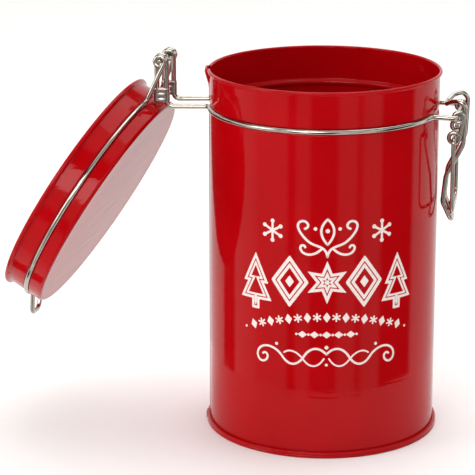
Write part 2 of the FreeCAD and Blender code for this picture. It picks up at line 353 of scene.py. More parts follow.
class Nodes:
    """A node tree. Every input is given a plain value, or a socket to link from."""

    def __init__(self, tree):
        self.tree = tree

    def put(self, socket, value):
        if isinstance(value, bpy.types.NodeSocket):
            self.tree.links.new(value, socket)
        else:
            socket.default_value = value

    def fill(self, node, **inputs):
        for name, value in inputs.items():
            self.put(node.inputs[name.replace("_", " ")], value)
        return node

    def new(self, kind, **inputs):
        return self.fill(self.tree.nodes.new("ShaderNode" + kind), **inputs)

    def mapped(self, scale=(1, 1, 1), source="Object"):
        place = self.new("TexCoord").outputs[source]
        return self.new("Mapping", Vector=place, Scale=scale).outputs["Vector"]

    def noise(self, vector, scale, detail, rough=0.5):
        node = self.new("TexNoise", Vector=vector, Scale=scale, Detail=detail, Roughness=rough)
        return node.outputs["Fac"]

    def remapped(self, value, low, high, start=0.3, end=0.7):
        node = self.new("MapRange", Value=value, From_Min=start, From_Max=end, To_Min=low, To_Max=high)
        return node.outputs["Result"]

    def bumped(self, height, strength, distance, **normal):
        node = self.new("Bump", Height=height, Strength=strength, Distance=distance, **normal)
        return node.outputs["Normal"]

    def mixed(self, data_type, factor, first, second):
        node = self.new("Mix")
        node.data_type = data_type
        low, high, result = MIX_SOCKETS[data_type]
        self.put(node.inputs["Factor"], factor)
        self.put(node.inputs[low], first)
        self.put(node.inputs[high], second)
        return node.outputs[result]

    def mottled(self, value, first, second):
        """A colour that wanders between two with a noise value."""
        return self.mixed("RGBA", self.remapped(value, 0.0, 1.0), (*first, 1.0), (*second, 1.0))

    def maths(self, operation, *values):
        node = self.new("Math")
        node.operation = operation
        for socket, value in zip(node.inputs, values):
            self.put(socket, value)
        return node.outputs[0]

    def ramp(self, value, stops):
        """Piecewise curve through (place, level) stops, places from 0 to 1."""
        node = self.new("FloatCurve", Value=value)
        points = node.mapping.curves[0].points
        points[0].location = stops[0]
        points[-1].location = stops[-1]
        for stop in stops[1:-1]:
            points.new(*stop)
        for point in points:
            point.handle_type = "VECTOR"
        node.mapping.update()
        return node.outputs["Value"]


def new_material(name):
    material = bpy.data.materials.new(name)
    material.use_nodes = True
    return material, Nodes(material.node_tree), material.node_tree.nodes["Principled BSDF"]


def lacquer_material():
    """Gloss red lacquer on tinplate: orange peel, a faint mill ripple round the wall, and smears."""
    material, nodes, shader = new_material("red_lacquer")
    plain = nodes.mapped()
    tone = nodes.noise(plain, scale=38.0, detail=4.0)
    smear = nodes.noise(plain, scale=95.0, detail=6.0, rough=0.6)
    peel = nodes.noise(plain, scale=420.0, detail=2.0)
    wave = nodes.noise(nodes.mapped(scale=(1, 1, 9)), scale=30.0, detail=2.0)
    peeled = nodes.bumped(peel, strength=0.10, distance=0.0002)
    nodes.fill(shader, Base_Color=nodes.mottled(tone, (0.37, 0.0005, 0.0020), (0.42, 0.0009, 0.0036)),
               Roughness=nodes.remapped(smear, low=0.05, high=0.11), Specular_IOR_Level=0.16,
               Normal=nodes.bumped(wave, strength=0.16, distance=0.0006, Normal=peeled))
    return material


def steel_material(name, colour_low, colour_high, rough_low, rough_high):
    """Plated drawn steel: streaks run along the wire, with duller patches."""
    material, nodes, shader = new_material(name)
    along = nodes.mapped(scale=(0.35, 26.0, 1.0), source="UV")
    streaks = nodes.noise(along, scale=5.0, detail=5.0, rough=0.65)
    patches = nodes.noise(nodes.mapped(), scale=160.0, detail=4.0, rough=0.6)
    grooves = nodes.bumped(streaks, strength=0.22, distance=0.00005)
    nodes.fill(shader, Metallic=1.0, Base_Color=nodes.mottled(patches, colour_low, colour_high),
               Roughness=nodes.remapped(streaks, rough_low, rough_high),
               Normal=nodes.bumped(patches, strength=0.10, distance=0.0001, Normal=grooves))
    return material


def ink_material():
    """Off-white printed ink: slightly uneven cover, a little softer than the lacquer."""
    material, nodes, shader = new_material("white_ink")
    cover = nodes.noise(nodes.mapped(), scale=900.0, detail=4.0, rough=0.6)
    nodes.fill(shader, Base_Color=nodes.mottled(cover, (0.80, 0.66, 0.62), (0.88, 0.77, 0.74)),
               Roughness=nodes.remapped(cover, low=0.24, high=0.38),
               Normal=nodes.bumped(cover, strength=0.12, distance=0.00004))
    return material


def rubber_material():
    """Pale silicone of the seal ring, with a fine grain."""
    material, nodes, shader = new_material("seal_rubber")
    grain = nodes.noise(nodes.mapped(), scale=700.0, detail=5.0, rough=0.6)
    nodes.fill(shader, Base_Color=nodes.mottled(grain, (0.66, 0.64, 0.60), (0.76, 0.74, 0.70)),
               Roughness=nodes.remapped(grain, low=0.45, high=0.6),
               Subsurface_Weight=0.15, Subsurface_Radius=(0.002, 0.002, 0.002),
               Normal=nodes.bumped(grain, strength=0.2, distance=0.0001))
    return material


def floor_material():
    """Plain pale paper, very slightly uneven."""
    material, nodes, shader = new_material("pale_floor")
    tone = nodes.noise(nodes.mapped(), scale=3.0, detail=2.0)
    nodes.fill(shader, Base_Color=nodes.mottled(tone, (0.94, 0.94, 0.935), (0.965, 0.965, 0.96)),
               Roughness=0.75, Specular_IOR_Level=0.2)
    return material


RED = lacquer_material()
STEEL = steel_material("plated_wire", (0.42, 0.39, 0.34), (0.58, 0.54, 0.48), 0.06, 0.14)
SLEEVE = steel_material("crimped_sleeve", (0.34, 0.29, 0.27), (0.46, 0.41, 0.38), 0.20, 0.36)
INK = ink_material()
RUBBER = rubber_material()


def fitted(piece, body, slot, *nodes):
    """Puts a finished piece on its body, in the place of the frame's nodes."""
    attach(piece, body)
    if nodes:
        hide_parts(*nodes)
    return piece


# ---- tin body --------------------------------------------
def groove_dip(z, centre_z, hoop_radius, section_radius, surface):
    """Depth of a wire groove below a wall surface, with softly rolled shoulders."""
    total = 0.0
    weight = 0.0
    for k in range(-4, 5):
        shift = GROOVE_STEP * k
        share = math.exp(-0.5 * (k / GROOVE_SOFTNESS) ** 2)
        dz = z + shift - centre_z
        depth = 0.0
        if abs(dz) < section_radius:
            depth = max(0.0, surface - hoop_radius + math.sqrt(section_radius**2 - dz**2))
        total += depth * share
        weight += share
    return total / weight


def groove_heights(centre_z, low, high):
    """Heights from low to high, close together across a groove."""
    below = [low + (centre_z - GROOVE_REACH - low) * k / 12 for k in range(12)]
    across = [centre_z + GROOVE_STEP * k for k in range(-20, 21)]
    above = [centre_z + GROOVE_REACH + (high - centre_z - GROOVE_REACH) * (k + 1) / 5 for k in range(5)]
    return below + across + above


def seam_profile(angle, width):
    """1 on the side seam's strip, 0 off it, with rolled edges."""
    return smooth_step((width / 2 + SIDE_SEAM_EDGE / 2 - abs(seam_offset(angle))) / SIDE_SEAM_EDGE)


def seam_offset(angle):
    """Distance round the wall from the middle of the side seam, towards the front."""
    turn = (angle - math.radians(SIDE_SEAM_ANGLE) + math.pi) % (2 * math.pi) - math.pi
    return turn * WALL_RADIUS


def lip_flare(angle, z):
    """The curl's cut ends stand out where the side seam runs up into them."""
    arc = seam_offset(angle)
    side = 1.0 - smooth_step((abs(arc) - FLARE_HALF) / FLARE_EDGE)
    return FLARE_REACH * side * smooth_step((z - BODY_HEIGHT + FLARE_DROP) / FLARE_GROWTH)


def smooth_step(value):
    value = min(1.0, max(0.0, value))
    return value * value * (3 - 2 * value)


def wall_swell(angle, radius, z):
    """The folded side seam, fading at the wire groove and flaring into the mouth curl."""
    if z < WALL_CLEAR:
        return 0.0
    flare = lip_flare(angle, z)
    if radius < WALL_RADIUS - 0.3:
        return flare * FLARE_INSIDE
    if z > BODY_HEIGHT - 2 * CURL_RADIUS - 0.1:
        return flare * (FLARE_OUTSIDE if radius > WALL_RADIUS + 0.6 else FLARE_INSIDE)
    fade = smooth_step((abs(z - NECK_Z) - 1.5) / 1.4)
    return SIDE_SEAM_STEP * seam_profile(angle, SIDE_SEAM_WIDTH) * fade + flare


def build_wall():
    inner = WALL_RADIUS - SHEET
    groove_r = NECK_WIRE + GROOVE_CLEARANCE
    curl_z = BODY_HEIGHT - CURL_RADIUS
    curl_centre = (inner + CURL_RADIUS, curl_z)
    outline = [(inner, 0.62), (SEAM_RADIUS - SHEET - 0.12, 0.62), (SEAM_RADIUS - SHEET - 0.12, 1.0),
               (WALL_RADIUS, 1.05)]
    for z in groove_heights(NECK_Z, WALL_CLEAR, curl_z - 1.6):
        outline.append((WALL_RADIUS - groove_dip(z, NECK_Z, NECK_HOOP_RADIUS, groove_r, WALL_RADIUS), z))
    # the sheet flares into the curl, goes over the top and meets its own inside face
    outline += arc_points((WALL_RADIUS + 0.55, curl_z - 1.35), 0.55, 180, 100, 5)
    outline += arc_points(curl_centre, CURL_RADIUS, -58, 180, 22)
    for z in reversed(groove_heights(NECK_Z, 4.0, curl_z - 0.8)):
        dip = groove_dip(z, NECK_Z, NECK_HOOP_RADIUS, groove_r + SHEET, inner)
        outline.append((inner - dip, z))
    return lathe("tin_wall", outline, RED, segments=ROUND, swell=wall_swell, turn=ROUND_TURN)


def base_swell(angle, radius, z):
    """The side seam's extra layers push the double seam out a little."""
    if radius < WALL_RADIUS + 0.4:
        return 0.0
    return BASE_SEAM_STEP * seam_profile(angle, SIDE_SEAM_WIDTH + 1.0)


def build_base():
    chuck = WALL_RADIUS - SHEET - 0.02
    r = SEAM_RADIUS
    panel = BASE_PANEL_HEIGHT
    inside_chuck = chuck - SHEET
    outline = [(0, panel)]
    outline += [(20.0, panel), (38.0, panel), (40.0, panel - 0.5), (42.0, panel - 0.5), (44.0, panel)]
    outline += arc_points((inside_chuck - 0.8, panel - 0.8), 0.8, 90, 0, 5)
    outline += arc_points((inside_chuck + 0.35, 0.35), 0.35, 180, 270, 4)
    outline += arc_points((r - 0.55, 0.55), 0.55, -90, 0, 6)
    outline += [(r, 1.25), (r - 0.16, 1.45), (r - 0.02, 1.68), (r - 0.03, 2.2)]
    outline += arc_points((r - 0.63, SEAM_HEIGHT - 0.6), 0.6, 0, 90, 6)
    outline += [(WALL_RADIUS + 0.25, SEAM_HEIGHT), (WALL_RADIUS + 0.03, SEAM_HEIGHT - 0.2)]
    outline += [(WALL_RADIUS + 0.03, SEAM_HEIGHT - SHEET), (r - SHEET, SEAM_HEIGHT - SHEET)]
    outline += [(r - SHEET, SHEET), (chuck, SHEET), (chuck, panel + SHEET - 0.2)]
    outline += [(chuck - 0.2, panel + SHEET), (44.0, panel + SHEET), (42.0, panel), (40.0, panel)]
    outline += [(38.0, panel + SHEET), (0, panel + SHEET)]
    return lathe("tin_base", outline, RED, segments=ROUND, swell=base_swell, turn=ROUND_TURN)


# ---- wires -----------------------------------------------
def hoop_exit(hoop_radius, half_width):
    """Angle from the X axis at which a hoop leaves its circle for a leg at half_width."""
    reach = math.hypot(hoop_radius, LEAD)
    return math.asin(half_width / reach) + math.atan2(LEAD, hoop_radius)


def rod_point(y):
    """The hinge rod's axis at a given Y, in millimetres."""
    return HINGE + HINGE_AXIS * ((y - HINGE.y) / HINGE_AXIS.y)


def hoop_half(radius, z, latch_y, hinge_y, side):
    """Half a hoop from the hinge to the latch, between the ends of its two leads."""
    latch_exit = hoop_exit(radius, latch_y)
    hinge_exit = hoop_exit(radius, hinge_y)
    sweep = math.pi - latch_exit - hinge_exit
    latch = Vector((radius * math.cos(latch_exit), side * radius * math.sin(latch_exit), z))
    hinge = Vector((-radius * math.cos(hinge_exit), side * radius * math.sin(hinge_exit), z))
    latch_lead = latch + Vector((math.sin(latch_exit), -side * math.cos(latch_exit), 0)) * LEAD
    hinge_lead = hinge + Vector((-math.sin(hinge_exit), -side * math.cos(hinge_exit), 0)) * LEAD
    steps = int(sweep * radius / HOOP_STEP)
    ring = turned_path(Vector((0, 0, z)), Vector((0, 0, -side)), hinge, sweep, steps)
    return hinge_lead, ring, latch_lead


def closed_by_ear(name, halves, tips, bend, radius):
    """One wire out of a hoop's two halves and the ear at the latch between them."""
    ear = rounded_path([halves[0][-2], halves[0][-1], *tips, halves[1][-1], halves[1][-2]],
                       [0, CORNER_BEND, bend, bend, CORNER_BEND, 0])
    return tube(name, halves[0][:-2] + ear + halves[1][:-2][::-1], radius, STEEL)


def build_neck_wire():
    halves = []
    for side in (-1, 1):
        hinge_lead, ring, latch_lead = hoop_half(NECK_HOOP_RADIUS, NECK_Z, PIVOT_Y, ARM_Y, side)
        rod = rod_point(side * ARM_Y)
        near_x, far_x = rod.x + SLOT_HALF, rod.x - SLOT_HALF
        top = rod.z + SLOT_CROWN + SLOT_HALF
        slot = [(far_x, FERRULE_Z - SLOT_TAIL), (far_x, top), (near_x, top), (near_x, ARM_Z)]
        corners = [Vector((x, rod.y, z)) for x, z in slot] + [hinge_lead, ring[0]]
        bend = SLOT_HALF - 0.01
        arm = rounded_path(corners, [0, bend, bend, ARM_BEND, CORNER_BEND, 0])
        halves.append(arm + ring[1:] + [latch_lead])
    tips = [Vector((PIVOT.x, side * PIVOT_Y, PIVOT.z)) for side in (-1, 1)]
    return closed_by_ear("neck_hoop", halves, tips, PIVOT_BEND, NECK_WIRE)


def build_cap_wire():
    halves = []
    tips = []
    for side in (-1, 1):
        hinge_lead, ring, latch_lead = hoop_half(HOOP_RADIUS, HOOP_Z, EAR_Y, HOOK_Y, side)
        eye = rod_point(side * HOOK_Y)
        dx = hinge_lead.x - eye.x
        dz = hinge_lead.z - eye.z
        touch_angle = math.atan2(dz, dx) + math.acos(HOOK_RADIUS / math.hypot(dx, dz))
        touch = eye + Vector((math.cos(touch_angle), 0, math.sin(touch_angle))) * HOOK_RADIUS
        hook = turned_path(eye, Vector((0, -1, 0)), touch, HOOK_TURN, 40, -side * HOOK_ADVANCE)
        arm = rounded_path([touch, hinge_lead, ring[0]], [0, CORNER_BEND, 0])
        halves.append(hook[::-1] + arm[1:] + ring[1:] + [latch_lead])
        tips.append(Vector((latch_lead.x + EAR_LENGTH * math.cos(EAR_RISE), side * EAR_TIP_Y,
                            HOOP_Z + EAR_LENGTH * math.sin(EAR_RISE))))
    return closed_by_ear("cap_hoop", halves, tips, EAR_BEND, LID_WIRE)


def build_lever():
    side_points = [  # X and Z from the pivot, half width, bend radius
        (-6.1, 4.0, 3.2, 3.0), (-3.2, 6.3, 8.4, 4.0), (0.6, 7.0, 10.6, 3.0), (3.2, 4.4, 10.9, 3.6),
        (2.4, -13.5, 10.9, 10.0), (-5.4, -29.0, 8.6, 8.0), (-6.7, -42.0, 7.4, 5.0),
        (-2.6, -51.0, 6.0, 3.4)]
    corners = [Vector((PIVOT.x + x, -y, PIVOT.z + z)) for x, z, y, _ in side_points]
    corners += [Vector((PIVOT.x + x, y, PIVOT.z + z)) for x, z, y, _ in reversed(side_points)]
    radii = [p[3] for p in side_points]
    return tube("lever_loop", rounded_path(corners, radii + radii[::-1], closed=True), HANDLE_WIRE, STEEL,
                closed=True)


def build_lever_eye(side):
    """A coil of nearly one turn round the pivot bar, the leg, and an eye of nearly one turn."""
    pivot = Vector((PIVOT.x, side * EYE_Y, PIVOT.z))
    eye = Vector((EYE.x, side * EYE_Y, EYE.z))
    down = eye - pivot
    lean = math.asin((EYE_RADIUS - COIL_RADIUS) / down.length)
    angle = math.atan2(down.z, down.x) + math.pi / 2 + lean
    out = Vector((math.cos(angle), 0, math.sin(angle)))
    coil = turned_path(pivot, Vector((0, -1, 0)), pivot + out * COIL_RADIUS, COIL_TURN, 44,
                       -side * COIL_ADVANCE)
    loop = turned_path(eye, Vector((0, 1, 0)), eye + out * EYE_RADIUS, EYE_TURN, 46, side * EYE_ADVANCE)
    name = "lever_eye_wire_near" if side < 0 else "lever_eye_wire_far"
    return tube(name, coil[::-1] + loop, EYE_WIRE, STEEL)


def build_link():
    low = EYE.z - LINK_LENGTH
    side_points = [(LINK_END_Y, EYE.z), (LINK_Y, EYE.z), (LINK_Y, low)]
    corners = [Vector((EYE.x, -y, z)) for y, z in side_points]
    corners += [Vector((EYE.x, y, z)) for y, z in reversed(side_points)]
    bends = [0, LINK_TOP_BEND, LINK_LOW_BEND, LINK_LOW_BEND, LINK_TOP_BEND, 0]
    return tube("link_wire", rounded_path(corners, bends), LINK_WIRE, STEEL)


def build_rod():
    reach = HOOK_Y + LID_WIRE + ROD_END
    return tube("hinge_pin", [rod_point(-reach), rod_point(reach)], ROD_RADIUS, STEEL)


def build_ferrule(side):
    """Flattened sleeve round the two slot wires, with two crimp dents in each face."""
    rod = rod_point(side * ARM_Y)
    half_x, half_y, tall = FERRULE_SIZE[0] / 2, FERRULE_SIZE[1] / 2, FERRULE_SIZE[2]
    levels = [0.0, 0.04, 0.1, 0.2, 0.26, 0.31, 0.36, 0.42, 0.5,
              0.58, 0.64, 0.69, 0.74, 0.8, 0.9, 0.96, 1.0]
    rim = {0.0: 0.93, 0.04: 0.985, 0.96: 0.985, 1.0: 0.93}
    points = []
    for level in levels:
        dent = sum(math.exp(-((level - crimp) / CRIMP_HEIGHT) ** 2) for crimp in CRIMPS)
        for k in range(FERRULE_SIDES):
            a = 2 * math.pi * k / FERRULE_SIDES
            c, s = math.cos(a), math.sin(a)
            x = half_x * math.copysign(abs(c) ** FERRULE_ROUNDING[0], c)
            y = half_y * math.copysign(abs(s) ** FERRULE_ROUNDING[1], s)
            pinch = 1.0 - CRIMP_DEPTH * dent * math.exp(-(x / CRIMP_WIDTH) ** 2)
            scale = rim.get(level, 1.0)
            points.append((rod.x + x * scale, rod.y + y * scale * pinch, FERRULE_Z + tall * level))
    name = "hinge_sleeve_near" if side < 0 else "hinge_sleeve_far"
    piece = mesh_object(name, points, ring_faces(len(levels), FERRULE_SIDES), SLEEVE, 50.0)
    layer = piece.data.uv_layers.new(name="wire")
    for loop in piece.data.loops:
        place = piece.data.vertices[loop.vertex_index].co
        layer.data[loop.index].uv = (place.z * 100, (place.x + place.y) * 100)
    return piece


# ---- cap, drawn closed and then opened about the hinge ---
def opened(piece):
    """Turns a piece drawn on the closed cap to where the cap hangs open."""
    centre = HINGE * MM
    turn = Matrix.Rotation(-LID_OPEN, 4, HINGE_AXIS)
    piece.data.transform(Matrix.Translation(centre) @ turn @ Matrix.Translation(-centre))
    return piece


def build_cap():
    inner = LID_RADIUS - SHEET
    top = HEM_Z + LID_DEPTH
    hem = (LID_HEM_RADIUS - inner) / 2
    groove_r = LID_WIRE + GROOVE_CLEARANCE
    hem_centre = (inner + hem, HEM_Z + hem)
    # the rolled edge, then up the skirt and over the corner to the top
    outline = arc_points(hem_centre, hem, 180, 418, 22)
    outline += arc_points((LID_RADIUS + 0.5, HEM_Z + 2 * hem + 0.42), 0.5, -120, -180, 4)
    for z in groove_heights(HOOP_Z, HEM_Z + 2 * hem + 0.7, top - LID_CORNER - 0.3):
        outline.append((LID_RADIUS - groove_dip(z, HOOP_Z, HOOP_RADIUS, groove_r, LID_RADIUS), z))
    outline += arc_points((LID_RADIUS - LID_CORNER, top - LID_CORNER), LID_CORNER, 0, 90, 9)
    flat = LID_RADIUS - LID_CORNER
    outline += [(flat - 0.8, top - 0.02), (flat * 0.75, top), (flat * 0.5, top + 0.03)]
    outline += [(flat * 0.25, top + 0.05), (0.0, top + 0.05), (0.0, top - SHEET)]
    outline += [(flat * 0.5, top - SHEET), (flat - 1.0, top - SHEET)]
    corner = LID_CORNER - SHEET
    outline += arc_points((inner - corner, top - LID_CORNER), corner, 90, 0, 7)
    for z in reversed(groove_heights(HOOP_Z, HEM_Z + hem + 1.2, top - LID_CORNER - 0.3)):
        outline.append((inner - groove_dip(z, HOOP_Z, HOOP_RADIUS, groove_r + SHEET, inner), z))
    return opened(lathe("cap_shell", outline, RED, segments=ROUND, turn=ROUND_TURN))


def build_seal():
    outer = LID_RADIUS - SHEET - 0.02
    top = HOOP_Z - LID_WIRE - GROOVE_CLEARANCE - SHEET
    low = top - SEAL_THICKNESS
    inside = outer - SEAL_WIDTH
    outline = arc_points((inside + 0.4, low + 0.4), 0.4, 180, 270, 4)
    outline += [(inside + 1.2, low), (inside + 1.5, low + 0.25)]
    outline += [(outer - 1.5, low + 0.25), (outer - 1.2, low)]
    outline += arc_points((outer - 0.3, low + 0.3), 0.3, 270, 360, 4)
    outline += [(outer, top)]
    outline += arc_points((inside + 0.4, top - 0.4), 0.4, 90, 180, 4)
    return opened(lathe("seal_ring", outline, RUBBER, segments=240))


# ---- printed front ---------------------------------------
PRINT_CENTRE = math.radians(8.3)     # the print's middle, round from -Y towards the latch
PRINT_LIFT = (0.012, 0.055)          # underside and face of the ink above the wall
PRINT_SCALE_Z = 0.984                # height on the wall of a shape drawn at height 1
DOT_POINTS = 23
BEZIER_STEPS = 24
LINE_WIDTH = 1.1
SMALL_DOT = 0.6
FLAKE_U, FLAKE_V, FLAKE_ARM = 25.9, 110.3, 4.6      # U and V are places round the wall and up it
TOP_SCROLL_V = 108.2
LARGE_ROW_V, FIR_U, GEM_U = 85.4, 34.8, 17.4
ARCH_V, ARCH_PITCH, ARCH_BOW = 69.8, 4.45, 0.0052
SHORT_ROW_V, SHORT_ROW_PITCH = 61.2, 5.6
LOW_SCROLL_V = 50.0


class Print:
    """Flat ink shapes in millimetres, u round the wall and v up it, wrapped onto the wall."""

    def __init__(self):
        self.points = []
        self.faces = []

    def wrapped(self, u, v, lift):
        angle = PRINT_CENTRE + u / WALL_RADIUS
        radius = WALL_RADIUS + lift
        return (radius * math.sin(angle), -radius * math.cos(angle), v * PRINT_SCALE_Z)

    def sheet(self, rows, closed):
        """A strip between matching rows of (u, v) points, given a face, a back and edges."""
        first, second = rows
        count = len(first)
        base = len(self.points)
        for lift in PRINT_LIFT:
            for row in (first, second):
                self.points += [self.wrapped(u, v, lift) for u, v in row]
        back_a, back_b, face_a, face_b = (base + count * i for i in range(4))
        for i in range(count if closed else count - 1):
            j = (i + 1) % count
            self.faces.append((face_a + i, face_a + j, face_b + j, face_b + i))
            self.faces.append((back_a + i, back_b + i, back_b + j, back_a + j))
            self.faces.append((back_a + i, back_a + j, face_a + j, face_a + i))
            self.faces.append((back_b + i, face_b + i, face_b + j, back_b + j))
        if not closed:
            last = count - 1
            self.faces.append((back_a, face_a, face_b, back_b))
            self.faces.append((back_a + last, back_b + last, face_b + last, face_a + last))

    def dot(self, u, v, radius):
        outer = arc_points((u, v), radius, 0, 345, DOT_POINTS)
        inner = arc_points((u, v), radius * 0.02, 0, 345, DOT_POINTS)
        self.sheet((inner, outer), True)

    def stroke(self, line, width):
        """A line of even width with round ends."""
        line = evened(line, 0.5)
        left = []
        right = []
        for i, (u, v) in enumerate(line):
            a = line[max(i - 1, 0)]
            b = line[min(i + 1, len(line) - 1)]
            length = math.hypot(b[0] - a[0], b[1] - a[1])
            nu, nv = -(b[1] - a[1]) / length * width / 2, (b[0] - a[0]) / length * width / 2
            left.append((u + nu, v + nv))
            right.append((u - nu, v - nv))
        self.sheet((right, left), False)
        for end in (line[0], line[-1]):
            self.dot(*end, width / 2)

    def band(self, outline, outer_inset, inner_inset, roundness):
        """A closed band inside an outline, between two insets."""
        outer = softened(inset(outline, outer_inset), roundness)
        inner = softened(inset(outline, inner_inset), roundness * 0.5)
        self.sheet((inner, outer), True)

    def solid(self, outline, roundness):
        """A filled convex shape, as a band that closes on its middle."""
        ring = softened(outline, roundness)
        cu = sum(p[0] for p in ring) / len(ring)
        cv = sum(p[1] for p in ring) / len(ring)
        middle = [(cu + (u - cu) * 0.02, cv + (v - cv) * 0.02) for u, v in ring]
        self.sheet((middle, ring), True)

    def piece(self, name):
        obj = mesh_object(name, self.points, self.faces, INK, 50.0)
        return fitted(obj, "tin", "lacquered_tinplate")


def evened(line, step):
    """Points along a polyline at even spacing."""
    lengths = [0.0]
    for a, b in zip(line, line[1:]):
        lengths.append(lengths[-1] + math.hypot(b[0] - a[0], b[1] - a[1]))
    count = max(2, round(lengths[-1] / step))
    out = []
    i = 0
    for k in range(count + 1):
        target = lengths[-1] * k / count
        while i < len(lengths) - 2 and lengths[i + 1] < target:
            i += 1
        span = lengths[i + 1] - lengths[i]
        share = (target - lengths[i]) / span if span else 0.0
        out.append((line[i][0] + (line[i + 1][0] - line[i][0]) * share,
                    line[i][1] + (line[i + 1][1] - line[i][1]) * share))
    return out


def inset(outline, distance):
    """A counter-clockwise outline moved inwards, corners kept as mitres."""
    out = []
    count = len(outline)
    for i, (u, v) in enumerate(outline):
        a, b = outline[i - 1], outline[(i + 1) % count]
        d1 = Vector((u - a[0], v - a[1])).normalized()
        d2 = Vector((b[0] - u, b[1] - v)).normalized()
        n1 = Vector((-d1.y, d1.x))
        n2 = Vector((-d2.y, d2.x))
        mitre = (n1 + n2).normalized()
        reach = distance / max(0.3, mitre.dot(n1))
        out.append((u + mitre.x * reach, v + mitre.y * reach))
    return out


def softened(outline, radius):
    """An outline with rounded corners and even points along its sides, the same count for any size."""
    out = []
    count = len(outline)
    for i in range(count):
        p = Vector(outline[i])
        a = Vector(outline[i - 1])
        b = Vector(outline[(i + 1) % count])
        c = Vector(outline[(i + 2) % count])
        cut_a = min(radius, (p - a).length * 0.4, (b - p).length * 0.4)
        start = p + (a - p).normalized() * cut_a
        end = p + (b - p).normalized() * cut_a
        for k in range(5):
            t = k / 4
            out.append(tuple(start * (1 - t) ** 2 + p * 2 * t * (1 - t) + end * t**2))
        cut_b = min(radius, (b - p).length * 0.4, (c - b).length * 0.4)
        side_end = b + (p - b).normalized() * cut_b
        for k in range(1, 12):
            out.append(tuple(end.lerp(side_end, k / 12)))
    return out


def curve(points):
    """A smooth line through chained cubic Bezier points: start, then three points per span."""
    line = []
    for i in range(0, len(points) - 1, 3):
        a, b, c, d = points[i:i + 4]
        for k in range(BEZIER_STEPS + 1):
            t = k / BEZIER_STEPS
            s = 1 - t
            line.append(tuple(s**3 * a[n] + 3 * s * s * t * b[n] + 3 * s * t * t * c[n] + t**3 * d[n]
                              for n in (0, 1)))
    return line


def placed(line, u, v, flip=1.0):
    return [(u + flip * a, v + b) for a, b in line]


def snowflakes(ink):
    """Two snowflakes of six arms, with a knob on each arm."""
    for side in (-1, 1):
        u, v = side * FLAKE_U, FLAKE_V
        for k in range(3):
            a = math.radians(90 + 60 * k)
            du, dv = FLAKE_ARM * math.cos(a), FLAKE_ARM * math.sin(a)
            ink.stroke([(u - du, v - dv), (u + du, v + dv)], LINE_WIDTH)
            ink.dot(u - du, v - dv, 1.0)
            ink.dot(u + du, v + dv, 1.0)


def top_flourish(ink):
    """Mirrored scrolls round a leaf, over the large ornaments."""
    scroll = curve([(0.0, -9.0), (0.8, -3.2), (5.6, -4.6), (9.0, -1.6), (13.2, 2.1), (15.4, 6.6),
                    (12.0, 7.8), (9.2, 8.6), (7.6, 4.9), (10.4, 4.3)])
    leaf = curve([(0.0, 9.0), (3.6, 5.6), (4.2, 1.6), (0.0, -3.2)])
    tendril = curve([(2.6, -5.1), (6.4, -9.4), (11.6, -8.6), (12.4, -5.4), (12.8, -3.6), (10.6, -3.0),
                     (10.2, -4.6)])
    for side in (-1, 1):
        for line in (scroll, leaf, tendril):
            ink.stroke(placed(line, 0.0, TOP_SCROLL_V, side), LINE_WIDTH)
        ink.dot(side * 5.6, TOP_SCROLL_V + 4.4, 0.85)
    ink.dot(0.0, TOP_SCROLL_V + 3.4, 1.0)


def low_flourish(ink):
    """A long mirrored wave that ends in curls, with a second line under it and a few dots."""
    wave = curve([(0.0, 1.6), (3.4, 5.6), (7.4, 5.2), (10.4, 0.4), (13.2, -4.6), (17.4, -5.2),
                  (20.6, -0.6), (23.6, 3.9), (29.8, 5.4), (32.8, 1.4), (35.2, -2.2), (31.6, -6.2),
                  (28.8, -3.2), (27.2, -1.2), (29.0, 1.2), (30.6, -0.4)])
    under = curve([(1.2, -0.6), (3.8, -5.0), (7.4, -5.6), (10.6, -1.4), (13.4, 2.6), (17.0, 3.8),
                   (19.8, 1.6)])
    for side in (-1, 1):
        ink.stroke(placed(wave, 0.0, LOW_SCROLL_V, side), 1.05)
        ink.stroke(placed(under, 0.0, LOW_SCROLL_V, side), 0.8)
        ink.dot(side * 23.6, LOW_SCROLL_V + 5.4, 0.75)
    ink.dot(0.0, LOW_SCROLL_V + 5.0, 0.9)
    ink.dot(0.0, LOW_SCROLL_V - 3.6, 0.7)


def tree(half, tall):
    """Three-tiered fir, anticlockwise from the foot of the trunk, middle at (0, 0)."""
    low = -tall / 2
    right = [(half * 0.24, low), (half * 0.24, low + tall * 0.17), (half, low + tall * 0.17),
             (half * 0.52, low + tall * 0.47), (half * 0.80, low + tall * 0.47), (0.0, low + tall)]
    return right + [(-u, v) for u, v in right[:-1][::-1]]


def lozenge(half, tall):
    return [(0.0, -tall / 2), (half, 0.0), (0.0, tall / 2), (-half, 0.0)]


def star(radius, waist, points):
    out = []
    for k in range(2 * points):
        r = radius if k % 2 == 0 else waist
        a = math.radians(90 + 180 * k / points)
        out.append((r * math.cos(a), r * math.sin(a)))
    return out


def large_ornaments(ink):
    """A row of five inline shapes: fir, lozenge, star, lozenge, fir."""
    fir_v, gem_v, star_v = LARGE_ROW_V - 0.6, LARGE_ROW_V + 1.2, LARGE_ROW_V + 1.4
    for side in (-1, 1):
        fir = placed(tree(8.6, 27.5), side * FIR_U, fir_v)
        ink.band(fir, 0.0, 1.25, 0.5)
        ink.band(fir, 1.75, 2.75, 0.35)
        gem = placed(lozenge(9.0, 25.4), side * GEM_U, gem_v)
        ink.band(gem, 0.0, 1.6, 0.8)
        ink.band(gem, 2.15, 3.5, 0.5)
        ink.solid(placed(lozenge(2.1, 5.8), side * GEM_U, gem_v), 0.4)
    middle = placed(star(10.4, 4.9, 6), 0.0, star_v)
    ink.band(middle, 0.0, 1.35, 0.4)
    ink.band(middle, 1.85, 2.95, 0.25)
    ink.dot(0.0, star_v, 1.1)


